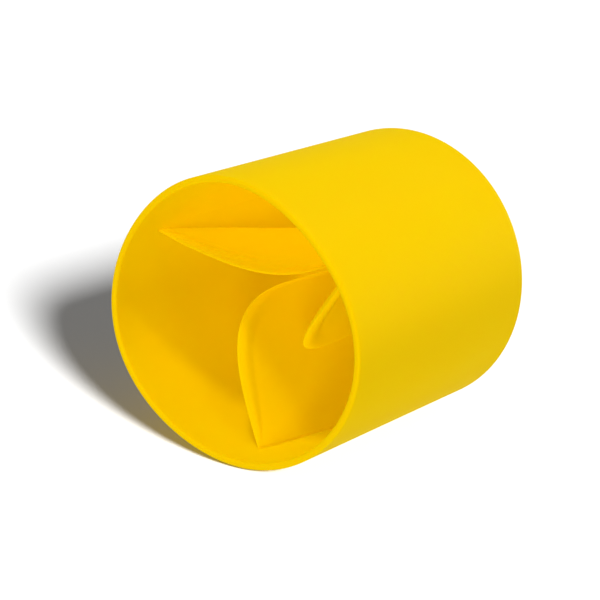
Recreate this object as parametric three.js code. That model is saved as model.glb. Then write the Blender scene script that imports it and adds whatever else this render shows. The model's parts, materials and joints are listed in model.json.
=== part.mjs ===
// Lip grip: a soft plastic sleeve, closed at its far end, with three thin vanes standing in from its bore.
// Whatever is pushed in at the mouth bends the vanes aside, and their free edges hold it.
//
// Millimetres. The sleeve lies on its side: its axis is Y, its mouth faces -Y and +Z is up.
// The origin is on the axis, half-way along the sleeve. Angles round the axis run from +X towards +Z.

import * as THREE from 'three';
import { mergeVertices } from 'three/addons/utils/BufferGeometryUtils.js';

// ---- driving dimensions ----

const SLEEVE_RADIUS = 30;            // outside radius at the closed end, which is round
const SLEEVE_LENGTH = 63.3;
const WALL = 1.4;                    // of the sleeve and of its end
const BORE_RADIUS = SLEEVE_RADIUS - WALL;

// The mouth is a little out of round: waves round the rim, each with its number of lobes, its height as a
// share of the radius, and the angle of one crest. The three-lobed wave is lowest where the roots begin.
const MOUTH_WAVES = [
  { lobes: 2, height: 0.034, crest: -26 },
  { lobes: 3, height: 0.016, crest: -30 },
  { lobes: 4, height: 0.008, crest: 6 },
];

// Every vane is the same tab. Its front edge rises steeply off the bore, its free edge runs on past the
// sleeve's axis, and its back edge comes down just short of the closed end.
const VANE_THICKNESS = 1.2;
const VANE_REACH = 32.3;             // from the bore to the free edge, along the sheet
const VANE_FRONT = -22.6;            // where the outline meets the bore, near the mouth
const VANE_CREST = 7.4;              // where it stands furthest in
const VANE_BACK = 28.3;              // where it meets the bore again
const VANE_SQUARENESS = 3.4;         // exponent of its superellipse outline: 2 is an ellipse, more is squarer
const ROOT_GAP = 0.3;                // stands for the thin web that joins a vane to the sleeve
const ROOT_TWIST = 0.432;            // degrees that the root line turns round the bore, for each mm along it

// Where each root is half-way along the sleeve, how far the sheet leans there from the radius, and how
// that lean changes along it, in degrees for each mm. Being soft, the three don't stand quite alike.
const VANES = [
  { name: 'left_vane', angle: 160, lean: 17.2, leanChange: 0.11 },
  { name: 'lower_vane', angle: 280, lean: 13.6, leanChange: -0.28 },
  { name: 'right_vane', angle: 40, lean: 17.5, leanChange: -0.13 },
];

const PLASTIC = { color: 0xf7c600, roughness: 0.5, metalness: 0 };

// ---- fineness of the facets ----

const SLEEVE_SEGMENTS = 96;
const SLEEVE_RINGS = 4;
const VANE_GRID = { along: 24, out: 14, through: 2 };

const radians = THREE.MathUtils.degToRad;

// ---- the sleeve ----

/** The sleeve's radius as a share of its round radius, at an angle round the axis and a place along it. */
function stretch(angle, y) {
  const share = 0.5 - y / SLEEVE_LENGTH;     // 1 at the mouth, 0 at the closed end
  let waves = 0;
  for (const wave of MOUTH_WAVES) {
    waves += wave.height * Math.cos(wave.lobes * (angle - radians(wave.crest)));
  }
  return 1 + share * waves;
}

/** A straight run of profile points from one end to the other, at one radius. */
function run(radius, from, to) {
  const points = [];
  for (let ring = 0; ring <= SLEEVE_RINGS; ring++) {
    points.push(new THREE.Vector2(radius, THREE.MathUtils.lerp(from, to, ring / SLEEVE_RINGS)));
  }
  return points;
}

function sleeveGeometry() {
  const mouth = -SLEEVE_LENGTH / 2;
  const end = SLEEVE_LENGTH / 2;
  const profile = [
    new THREE.Vector2(0, end - WALL),
    ...run(BORE_RADIUS, end - WALL, mouth),
    ...run(SLEEVE_RADIUS, mouth, end),
    new THREE.Vector2(0, end),
  ];
  const geometry = new THREE.LatheGeometry(profile, SLEEVE_SEGMENTS);
  const position = geometry.attributes.position;
  const point = new THREE.Vector3();
  for (let i = 0; i < position.count; i++) {
    point.fromBufferAttribute(position, i);
    const grow = stretch(Math.atan2(point.z, point.x), point.y);
    position.setXYZ(i, point.x * grow, point.y, point.z * grow);
  }
  return geometry;
}

// ---- the vanes ----

/**
 * A point of a vane: `along` is its place along the sleeve, `out` its distance from the root along the
 * sheet, and `off` its distance from the sheet's middle surface. Across the sleeve the sheet is straight.
 */
function sheetPoint(vane, along, out, off) {
  const rootAngle = radians(vane.angle + ROOT_TWIST * along);
  const rootRadius = (BORE_RADIUS - ROOT_GAP) * stretch(rootAngle, along);
  const heading = rootAngle + Math.PI + radians(vane.lean + vane.leanChange * along);
  return new THREE.Vector3(
    rootRadius * Math.cos(rootAngle) + out * Math.cos(heading) + off * Math.sin(heading),
    along,
    rootRadius * Math.sin(rootAngle) + out * Math.sin(heading) - off * Math.cos(heading),
  );
}

/** How far the sheet's faces are set back from its rounded edge, at a distance off the middle surface. */
function edgeSetback(off) {
  const radius = VANE_THICKNESS / 2;
  return radius - Math.sqrt(Math.max(0, radius * radius - off * off));
}

function vaneGeometry(vane) {
  const { along, out, through } = VANE_GRID;
  const geometry = new THREE.BoxGeometry(2, 1, VANE_THICKNESS, along, out, through);
  const position = geometry.attributes.position;
  for (let i = 0; i < position.count; i++) {
    const u = position.getX(i);              // -1 to 1 along the sleeve
    const v = position.getY(i) + 0.5;        // 0 at the root, 1 at the free edge
    const off = position.getZ(i);
    // Each square round the middle of the root becomes a superellipse of the same size.
    const norm = (Math.abs(u) ** VANE_SQUARENESS + v ** VANE_SQUARENESS) ** (1 / VANE_SQUARENESS);
    const round = norm > 0 ? Math.max(Math.abs(u), v) / norm : 1;
    const setback = edgeSetback(off);
    const half = u < 0 ? VANE_CREST - VANE_FRONT : VANE_BACK - VANE_CREST;
    const point = sheetPoint(
      vane,
      VANE_CREST + u * round * (half - setback),
      setback + v * round * (VANE_REACH - 2 * setback),
      off,
    );
    position.setXYZ(i, point.x, point.y, point.z);
  }
  return geometry;
}

// ---- the assembly ----

/** A named piece with its own material. Neighbouring faces share their corners, so the body is closed. */
function piece(name, geometry) {
  geometry.deleteAttribute('normal');
  geometry.deleteAttribute('uv');
  const closed = mergeVertices(geometry);
  closed.computeVertexNormals();
  const mesh = new THREE.Mesh(closed, new THREE.MeshStandardMaterial(PLASTIC));
  mesh.name = name;
  return mesh;
}

const grip = new THREE.Group();
grip.add(piece('sleeve', sleeveGeometry()));
for (const vane of VANES) {
  grip.add(piece(vane.name, vaneGeometry(vane)));
}

export default grip;
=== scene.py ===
"""Looks of the lip grip: a soft yellow plastic sleeve with three thin vanes in its bore.

Metres, in the CAD frame: the sleeve's axis is Y, its mouth faces -Y and +Z is up.
Angles round the axis run from +X towards +Z.
"""

import json
from collections import namedtuple

import bmesh
import bpy
import numpy as np
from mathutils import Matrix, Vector


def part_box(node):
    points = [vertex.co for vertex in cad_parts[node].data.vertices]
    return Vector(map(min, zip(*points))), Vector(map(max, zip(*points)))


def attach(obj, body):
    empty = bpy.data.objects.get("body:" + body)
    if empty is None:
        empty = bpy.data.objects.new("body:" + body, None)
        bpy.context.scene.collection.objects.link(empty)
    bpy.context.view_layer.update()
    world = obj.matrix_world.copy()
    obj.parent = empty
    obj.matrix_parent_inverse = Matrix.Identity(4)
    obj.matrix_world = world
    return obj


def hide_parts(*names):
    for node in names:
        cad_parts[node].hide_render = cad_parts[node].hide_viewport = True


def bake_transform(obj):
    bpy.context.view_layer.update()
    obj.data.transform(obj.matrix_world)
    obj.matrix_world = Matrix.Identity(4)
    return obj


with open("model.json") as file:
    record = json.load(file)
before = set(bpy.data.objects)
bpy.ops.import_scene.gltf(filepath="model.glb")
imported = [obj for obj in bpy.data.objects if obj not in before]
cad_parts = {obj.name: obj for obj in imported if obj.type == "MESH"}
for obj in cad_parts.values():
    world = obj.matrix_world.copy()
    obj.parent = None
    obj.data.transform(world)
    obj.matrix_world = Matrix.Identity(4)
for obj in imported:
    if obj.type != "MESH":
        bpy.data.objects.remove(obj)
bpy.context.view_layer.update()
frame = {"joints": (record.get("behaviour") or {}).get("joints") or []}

MM = 0.001
TINY = 1e-9

# ---- the sleeve, from the frame ----

sleeve_low, sleeve_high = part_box("sleeve")
MOUTH = sleeve_low.y
END = sleeve_high.y
LENGTH = END - MOUTH
FLOOR = sleeve_low.z
RADIUS = -sleeve_low.z              # the round closed end stands on the floor
WALL = 1.4 * MM
BORE = RADIUS - WALL

# Waves round the mouth: lobes, height as a share of the radius, angle of one crest in degrees.
MOUTH_WAVES = ((2, 0.034, -26), (3, 0.016, -30), (4, 0.008, 6))

RIM_ROUNDING = 0.55 * MM            # both corners of the rim
END_ROUNDING = 1.2 * MM             # outer corner of the closed end
INNER_ROUNDING = 2.0 * MM           # inner corner of the closed end
GATE_RADIUS = 4.0 * MM              # moulding gate: a shallow dish in the end's inside face
GATE_DEPTH = 0.3 * MM

SLEEVE_COLUMNS = 720                # points round the sleeve
WALL_STEPS = 60                     # points along each side of the wall
END_STEPS = 12                      # points across each ring of the closed end

# ---- the vanes ----

THICKNESS = 1.2 * MM
REACH = 32.3 * MM                   # from the root to the free edge
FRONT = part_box("left_vane")[0].y    # where the outline meets the bore, near the mouth
CREST = 7.4 * MM                    # where along the sleeve a vane reaches furthest in
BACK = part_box("left_vane")[1].y     # where it meets the bore again
SQUARENESS = 3.4                    # of the outline: 2 would be an ellipse
LEAST_LEVEL = 1e-3                  # keeps the outline's slope finite at the middle of the root
ROOT_TWIST = 0.432 / MM             # degrees for each metre along the sleeve
ROOT_DEPTH = 0.2 * MM               # how far the root is buried in the wall
WEB_ANGLE = 12.3                    # degrees that the flat web behind a vane spans, half-way along
WEB_STEP = 0.5 * MM                 # how far the web stands off the bore at the vane
WEB_TAPER = 7.0 * MM                # length over which the web grows from the vane's ends
NOSE = 0.8 * MM                     # how far in from the free edge the sheet is rounded
FRONT_NOSE = 3.4 * MM               # the same along the front edge, which is a soft hem
HEM_START = 0.9 / 2.2               # share of the way from crest to front where the hem starts
HEM_FULL = 1.9 / 2.2                # and where it is full
HEM_ROOT = 5.0 * MM                 # the hem dies away within this distance of the root
HEM_SWELL = 0.36 * MM               # how far the hem swells from each face
HEM_LEAN = 0.65                     # below 1, the hem is thickest nearer its edge
FOLD_WIDTH = 1.1 * MM
FOLD_SPREAD = 1.7                   # how slowly the fold draws away from the edge
FOLD_OFFSET = 0.5 * MM              # the fold's distance from the edge at the root
VANE_COLUMNS = 200                  # points along a vane's root
VANE_ROWS = 80                      # points from its root to its free edge

# Angle of the root, lean from the radius, and change of that lean for each metre, all in degrees.
# Then the width of the hem, and the depth of the fold behind it on each face.
Vane = namedtuple("Vane", "root lean lean_change hem fold_depth")
VANES = {
    "left_vane": Vane(160, 17.2, 0.11 / MM, 6.5 * MM, 0.18 * MM),
    "lower_vane": Vane(280, 13.6, -0.28 / MM, 3.6 * MM, 0.04 * MM),
    "right_vane": Vane(40, 17.5, -0.13 / MM, 4.5 * MM, 0.08 * MM),
}

# ---- the plastic ----

YELLOW = (0.84, 0.56, 0.0)
DEEPER_YELLOW = (0.84, 0.5348, 0.0)  # where the colour clouds over
GLOW = 0.5                          # share of the light that passes under the surface
GLOW_DEPTH = 1.2 * MM
GLOW_COLOUR = (1.0, 0.7, 0.05)
SHINE = 0.015
SHINE_COLOUR = (1.0, 0.7, 0.0, 1)
ROUGHNESS = (0.42, 0.56)
CLOUDS = 45                         # clouds of colour and gloss for each metre
GRAIN = 1800                        # grains of the surface for each metre
GRAIN_STRENGTH = 0.05
GRAIN_HEIGHT = 0.1 * MM

# ---- the stage ----

FLOOR_HALF = 3.0
FLOOR_TONE = 0.85                   # as the camera sees it
FLOOR_BOUNCE = 0.25                 # as it lights the part from below
ROOM = 0.19                         # strength of the even light from all round

# Name, azimuth, elevation, spread, strength, and whether it casts shadows. SUNS light the part alone.
# Most of their directions and strengths came from a least-squares fit to the photo's colours.
SUNS = (
    ("key", 21, 66, 7, 0.87, True),
    ("front", 35, 0, 12, 0.71, True),
    ("left_front", -60, 0, 12, 0.20, True),
    ("upper_right", 65, 40, 12, 0.23, True),
    ("right_side", 110, 10, 12, 0.54, True),
    ("right_back", 160, 50, 12, 0.53, True),
    ("back", 180, 0, 12, 1.60, True),
    ("left_side", -110, 5, 12, 0.60, True),
    ("top", 0, 75, 12, 1.16, False),
    ("low_right", 60, -30, 12, 0.98, False),
    ("low_left", -30, -30, 12, 0.76, False),
    ("under", 0, -70, 12, 0.44, False),
)
VANE_SUN = ("vane_top", -90, 70, 12, 0.50, False)   # on the vanes alone
FLOOR_SUN = ("floor_sun", 52, 21, 8, 10.0, True)    # on the floor alone

CAMERA_AZIMUTH = 35.553
CAMERA_ELEVATION = 14.88
CAMERA_DISTANCE = 515.9 * MM
CAMERA_LENS = 148.7
CAMERA_SENSOR = 36
CAMERA_NEAR = 10 * MM
AIM = Vector((-3.53, -2.96, -1.36)) * MM


# ---- mesh building ----


def ease(x):
    """0 below 0, 1 above 1, smooth between."""
    x = np.clip(x, 0, 1)
    return x * x * (3 - 2 * x)


def grid_faces(rows, columns, wrap):
    """Quads over a grid of points, row by row. With wrap the last column joins the first."""
    quads_across = columns if wrap else columns - 1
    r, c = np.meshgrid(np.arange(rows - 1), np.arange(quads_across), indexing="ij")
    a = r * columns + c
    b = r * columns + (c + 1) % columns
    return np.stack([a, b, b + columns, a + columns], -1).reshape(-1, 4)


def border_loop(rows, columns):
    """Indices round the edge of a grid, in order."""
    bottom = np.arange(columns)
    right = np.arange(1, rows) * columns + columns - 1
    top = (rows - 1) * columns + np.arange(columns - 2, -1, -1)
    left = np.arange(rows - 2, 0, -1) * columns
    return np.concatenate([bottom, right, top, left])


def new_piece(name, points, faces, material):
    """A smooth-shaded mesh object with one material."""
    mesh = bpy.data.meshes.new(name)
    corners = [list(dict.fromkeys(map(int, face))) for face in faces]
    mesh.from_pydata(points.tolist(), [], corners)
    mesh.validate()
    clean = bmesh.new()
    clean.from_mesh(mesh)
    loose = [v for v in clean.verts if not v.link_faces]
    bmesh.ops.delete(clean, geom=loose, context="VERTS")
    bmesh.ops.recalc_face_normals(clean, faces=clean.faces)
    clean.to_mesh(mesh)
    clean.free()
    mesh.shade_smooth()
    mesh.materials.append(material)
    obj = bpy.data.objects.new(name, mesh)
    bpy.context.scene.collection.objects.link(obj)
    return obj


# ---- the sleeve ----


def stretch(angle, y):
    """The sleeve's radius as a share of its round radius."""
    share = (END - y) / LENGTH
    waves = 0
    for lobes, height, crest in MOUTH_WAVES:
        waves = waves + height * np.cos(lobes * (angle - np.radians(crest)))
    return 1 + share * waves


def corner(centre, radius, start, stop, steps=8):
    """Points on an arc in the profile plane (distance from the axis, place along it)."""
    angles = np.radians(np.linspace(start, stop, steps + 1))
    return [(centre[0] + radius * np.cos(a), centre[1] + radius * np.sin(a)) for a in angles]


def sleeve_profile():
    """The wall's section, from the middle of the end's inside to the middle of its outside."""
    rim, end, inner = RIM_ROUNDING, END_ROUNDING, INNER_ROUNDING
    inside = END - WALL
    dish = np.linspace(0, GATE_RADIUS, END_STEPS)
    profile = [(r, inside + GATE_DEPTH * (1 - ease(r / GATE_RADIUS) ** 2)) for r in dish]
    profile += [(r, inside) for r in np.linspace(GATE_RADIUS, BORE - inner, END_STEPS)[1:-1]]
    profile += corner((BORE - inner, inside - inner), inner, 90, 0)
    profile += [(BORE, y) for y in np.linspace(inside - inner, MOUTH + rim, WALL_STEPS)[1:-1]]
    profile += corner((BORE + rim, MOUTH + rim), rim, 180, 270)
    profile += corner((RADIUS - rim, MOUTH + rim), rim, 270, 360)
    profile += [(RADIUS, y) for y in np.linspace(MOUTH + rim, END - end, WALL_STEPS)[1:-1]]
    profile += corner((RADIUS - end, END - end), end, 0, 90)
    profile += [(r, END) for r in np.linspace(RADIUS - end, 0, END_STEPS + 2)[1:]]
    return np.array(profile)


def web_height(angle, y):
    """How far the flat webs behind the vanes stand off the bore."""
    height = np.zeros(np.broadcast(angle, y).shape)
    grow = ease((y - FRONT) / WEB_TAPER) * ease((BACK - y) / WEB_TAPER)
    half_root = THICKNESS / 2 / BORE
    for vane_shape in VANES.values():
        start = np.radians(vane_shape.root - WEB_ANGLE)
        width = np.radians(WEB_ANGLE + ROOT_TWIST * y)
        place = np.mod(angle - start + np.pi, 2 * np.pi) - np.pi
        chord = 1 - np.cos(width / 2) / np.cos(np.clip(place, 0, width) - width / 2)
        rise = BORE * chord + WEB_STEP * np.clip(place / width, 0, 1) ** 2
        drop = 1 - ease((place - width) / (2 * half_root) + 0.5)
        height += np.where(place > 0, rise * drop, 0) * grow
    return height


def sleeve(material):
    """The wall, turned round the axis and stretched by the waves of the mouth."""
    columns = SLEEVE_COLUMNS
    profile = sleeve_profile()
    ring = profile[1:-1]
    angle = np.linspace(0, 2 * np.pi, columns, endpoint=False)[None, :]
    r, y = ring[:, :1], ring[:, 1:]
    on_bore = np.abs(r - BORE) < TINY
    r = (r - web_height(angle, y) * on_bore) * stretch(angle, y)
    points = np.stack([r * np.cos(angle), y + 0 * angle, r * np.sin(angle)], -1).reshape(-1, 3)
    faces = grid_faces(len(ring), columns, wrap=True)[:, ::-1].tolist()
    inside, outside = len(points), len(points) + 1
    points = np.vstack([points, [0, profile[0][1], 0], [0, profile[-1][1], 0]])
    last = (len(ring) - 1) * columns
    for i in range(columns):
        j = (i + 1) % columns
        faces.append([j, i, inside])
        faces.append([last + i, last + j, outside])
    return new_piece("sleeve_shell", points, faces, material)


# ---- the vanes ----


def sheet_point(shape, along, out, off):
    """Points of a vane: place along the sleeve, distance from the root, distance off the middle."""
    angle = np.radians(shape.root + ROOT_TWIST * along)
    radius = BORE * stretch(angle, along)
    heading = angle + np.pi + np.radians(shape.lean + shape.lean_change * along)
    x = radius * np.cos(angle) + out * np.cos(heading) + off * np.sin(heading)
    z = radius * np.sin(angle) + out * np.sin(heading) - off * np.cos(heading)
    return np.stack([x, along, z], -1)


def outline_place(u, v):
    """Grid (u from -1 to 1, v from 0 to 1) to places on the sheet.

    Gives the place along the sleeve, the distance from the root and from the free edge.
    """
    power = SQUARENESS
    norm = np.maximum((np.abs(u) ** power + v**power) ** (1 / power), TINY)
    shrink = np.maximum(np.abs(u), v) / norm
    span = np.where(u < 0, CREST - FRONT, BACK - CREST)
    p, q = np.abs(u) * shrink, v * shrink
    level = (p**power + q**power) ** (1 / power)
    slope = np.hypot(p ** (power - 1) / span, q ** (power - 1) / REACH)
    slope = slope / np.maximum(level, LEAST_LEVEL) ** (power - 1)
    return CREST + np.sign(u) * p * span, q * REACH, (1 - level) / np.maximum(slope, 1)


def half_thickness(shape, along, out, edge):
    """From the sheet's middle to each face: rounded at the edge, with the hem and its fold in front."""
    share = (CREST - along) / (CREST - FRONT)
    front = ease((share - HEM_START) / (HEM_FULL - HEM_START))
    nose = NOSE + (FRONT_NOSE - NOSE) * front
    fold_line = shape.hem * (1 - np.exp(-out / (FOLD_SPREAD * shape.hem))) + FOLD_OFFSET
    swell = HEM_SWELL * np.sin(np.pi * np.clip(edge / fold_line, 0, 1) ** HEM_LEAN) ** 2
    groove = shape.fold_depth * np.exp(-(((edge - fold_line) / FOLD_WIDTH) ** 2))
    half = THICKNESS / 2 * np.sqrt(1 - np.clip(1 - edge / nose, 0, 1) ** 2)
    return half + (swell - groove) * front * ease(out / HEM_ROOT)


def vane(name, shape, material):
    """A thin tab. Its two faces meet at the free edge, and a strip closes its root."""
    columns, rows = VANE_COLUMNS, VANE_ROWS
    to_edge = np.sin(np.linspace(0, np.pi / 2, rows))
    to_ends = np.sin(np.linspace(-np.pi / 2, np.pi / 2, columns))
    u, v = np.meshgrid(to_ends, to_edge)
    along, out, edge = outline_place(u, v)
    half = half_thickness(shape, along, out, edge)
    out = np.where(v == 0, -ROOT_DEPTH, out)
    face = sheet_point(shape, along, out, half).reshape(-1, 3)
    back = sheet_point(shape, along, out, -half).reshape(-1, 3)

    count = rows * columns
    face_quads = grid_faces(rows, columns, wrap=False)
    back_quads = face_quads[:, ::-1] + count
    root = np.arange(columns)
    ahead, behind = root[1:], root[:-1]
    strip = np.stack([ahead, behind, behind + count, ahead + count], -1)
    free = border_loop(rows, columns)[columns - 1:]
    joined = np.arange(2 * count)
    joined[free + count] = free
    joined[count] = 0
    quads = joined[np.vstack([face_quads, back_quads, strip])]
    return new_piece(name, np.vstack([face, back]), quads, material)


# ---- the material ----


def plastic(name):
    """Soft moulded vinyl: satin, a little translucent, faintly uneven in colour, gloss and surface."""
    material = bpy.data.materials.new(name)
    material.use_nodes = True
    nodes, links = material.node_tree.nodes, material.node_tree.links
    shader = nodes["Principled BSDF"]
    shader.inputs["Subsurface Weight"].default_value = GLOW
    shader.inputs["Subsurface Radius"].default_value = GLOW_COLOUR
    shader.inputs["Subsurface Scale"].default_value = GLOW_DEPTH
    shader.inputs["Specular IOR Level"].default_value = SHINE
    shader.inputs["Specular Tint"].default_value = SHINE_COLOUR

    place = nodes.new("ShaderNodeTexCoord")
    cloud = nodes.new("ShaderNodeTexNoise")
    cloud.inputs["Scale"].default_value = CLOUDS
    cloud.inputs["Detail"].default_value = 3
    links.new(place.outputs["Object"], cloud.inputs["Vector"])

    tint = nodes.new("ShaderNodeMix")
    tint.data_type = "RGBA"
    tint.inputs["A"].default_value = (*YELLOW, 1)
    tint.inputs["B"].default_value = (*DEEPER_YELLOW, 1)
    links.new(cloud.outputs["Fac"], tint.inputs["Factor"])
    links.new(tint.outputs["Result"], shader.inputs["Base Color"])

    gloss = nodes.new("ShaderNodeMapRange")
    gloss.inputs["To Min"].default_value, gloss.inputs["To Max"].default_value = ROUGHNESS
    links.new(cloud.outputs["Fac"], gloss.inputs["Value"])
    links.new(gloss.outputs["Result"], shader.inputs["Roughness"])

    grain = nodes.new("ShaderNodeTexNoise")
    grain.inputs["Scale"].default_value = GRAIN
    grain.inputs["Detail"].default_value = 4
    links.new(place.outputs["Object"], grain.inputs["Vector"])
    bump = nodes.new("ShaderNodeBump")
    bump.inputs["Strength"].default_value = GRAIN_STRENGTH
    bump.inputs["Distance"].default_value = GRAIN_HEIGHT
    links.new(grain.outputs["Fac"], bump.inputs["Height"])
    links.new(bump.outputs["Normal"], shader.inputs["Normal"])
    return material


# ---- stage ----


def direction(azimuth, elevation):
    """From the object to a light or camera. Azimuth 0 is in front of the mouth, 90 to its right."""
    a, e = np.radians(azimuth), np.radians(elevation)
    return Vector((np.sin(a) * np.cos(e), -np.cos(a) * np.cos(e), np.sin(e)))


def floor():
    """A plain matte sheet under the part, brighter to the camera than to the part."""
    signs = ((-1, -1), (1, -1), (1, 1), (-1, 1))
    corners = [(FLOOR_HALF * x, FLOOR_HALF * y, FLOOR) for x, y in signs]
    mesh = bpy.data.meshes.new("floor")
    mesh.from_pydata(corners, [], [(0, 1, 2, 3)])
    material = bpy.data.materials.new("floor")
    material.use_nodes = True
    nodes, links = material.node_tree.nodes, material.node_tree.links
    shader = nodes["Principled BSDF"]
    tone = nodes.new("ShaderNodeMix")
    tone.data_type = "RGBA"
    tone.inputs["A"].default_value = (FLOOR_BOUNCE, FLOOR_BOUNCE, FLOOR_BOUNCE, 1)
    tone.inputs["B"].default_value = (FLOOR_TONE, FLOOR_TONE, FLOOR_TONE, 1)
    ray = nodes.new("ShaderNodeLightPath")
    links.new(ray.outputs["Is Camera Ray"], tone.inputs["Factor"])
    links.new(tone.outputs["Result"], shader.inputs["Base Color"])
    shader.inputs["Roughness"].default_value = 1.0
    shader.inputs["Specular IOR Level"].default_value = 0.0
    mesh.materials.append(material)
    obj = bpy.data.objects.new("floor", mesh)
    bpy.context.scene.collection.objects.link(obj)
    return obj


def sun(name, azimuth, elevation, spread, strength, shadows):
    """A distant light, with its direction and spread in degrees."""
    light = bpy.data.lights.new(name, "SUN")
    light.angle = np.radians(spread)
    light.energy = strength
    light.use_shadow = shadows
    obj = bpy.data.objects.new(name, light)
    towards = direction(azimuth, elevation)
    obj.location = towards
    obj.rotation_mode = "QUATERNION"
    obj.rotation_quaternion = towards.to_track_quat("Z", "Y")
    bpy.context.scene.collection.objects.link(obj)
    return obj


def only_lights(light, receivers, blockers):
    """The light falls on the receivers alone, and only the blockers shade them from it."""
    for role, objects in (("receiver", receivers), ("blocker", blockers)):
        group = bpy.data.collections.new(light.name + "_" + role)
        for obj in objects:
            group.objects.link(obj)
        setattr(light.light_linking, role + "_collection", group)


def surroundings():
    """An even room, which the camera sees as white."""
    world = bpy.data.worlds.new("studio")
    bpy.context.scene.world = world
    world.use_nodes = True
    nodes, links = world.node_tree.nodes, world.node_tree.links
    seen = nodes.new("ShaderNodeMapRange")
    seen.inputs["To Min"].default_value = ROOM
    seen.inputs["To Max"].default_value = 1.0
    ray = nodes.new("ShaderNodeLightPath")
    links.new(ray.outputs["Is Camera Ray"], seen.inputs["Value"])
    nodes["Background"].inputs["Color"].default_value = (1, 1, 1, 1)
    links.new(seen.outputs["Result"], nodes["Background"].inputs["Strength"])


def camera():
    """The photo's view: azimuth and elevation in degrees, aimed a little off the part's middle."""
    data = bpy.data.cameras.new("camera")
    data.lens = CAMERA_LENS
    data.sensor_width = CAMERA_SENSOR
    data.clip_start = CAMERA_NEAR
    obj = bpy.data.objects.new("camera", data)
    back = direction(CAMERA_AZIMUTH, CAMERA_ELEVATION)
    obj.location = AIM + back * CAMERA_DISTANCE
    obj.rotation_mode = "QUATERNION"
    obj.rotation_quaternion = (-back).to_track_quat("-Z", "Y")
    bpy.context.scene.collection.objects.link(obj)
    bpy.context.scene.camera = obj


# ---- build ----


def place_sleeve(material):
    """The sleeve's piece, on the fixed body."""
    shell = sleeve(material)
    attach(shell, "sleeve")
    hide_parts("sleeve")
    return shell


def place_vane(joint, material):
    """One vane's piece, in place of its CAD part."""
    node = joint["child"]
    shape = VANES[node]
    blade = vane(node + "_sheet", shape, material)
    on_root = sheet_point(shape, np.array(CREST), np.array(0.0), np.array(0.0))
    further = sheet_point(shape, np.array(CREST), np.array(REACH), np.array(0.0))
    axis = Vector(joint["axis"]).normalized()
    inward = Vector(further - on_root)
    inward = (inward - axis * inward.dot(axis)).normalized()
    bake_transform(blade)
    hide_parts(node)
    return blade


sleeve_plastic = plastic("sleeve_plastic")
vane_plastic = plastic("vane_plastic")
shell = place_sleeve(sleeve_plastic)
blades = [place_vane(joint, vane_plastic) for joint in frame["joints"]]
parts = [shell] + blades

ground = floor()
for settings in SUNS:
    only_lights(sun(*settings), parts, parts)
only_lights(sun(*VANE_SUN), blades, parts)
only_lights(sun(*FLOOR_SUN), [ground], parts)
surroundings()
camera()

bpy.context.scene.view_settings.view_transform = "Standard"
bpy.context.scene.cycles.diffuse_bounces = 2
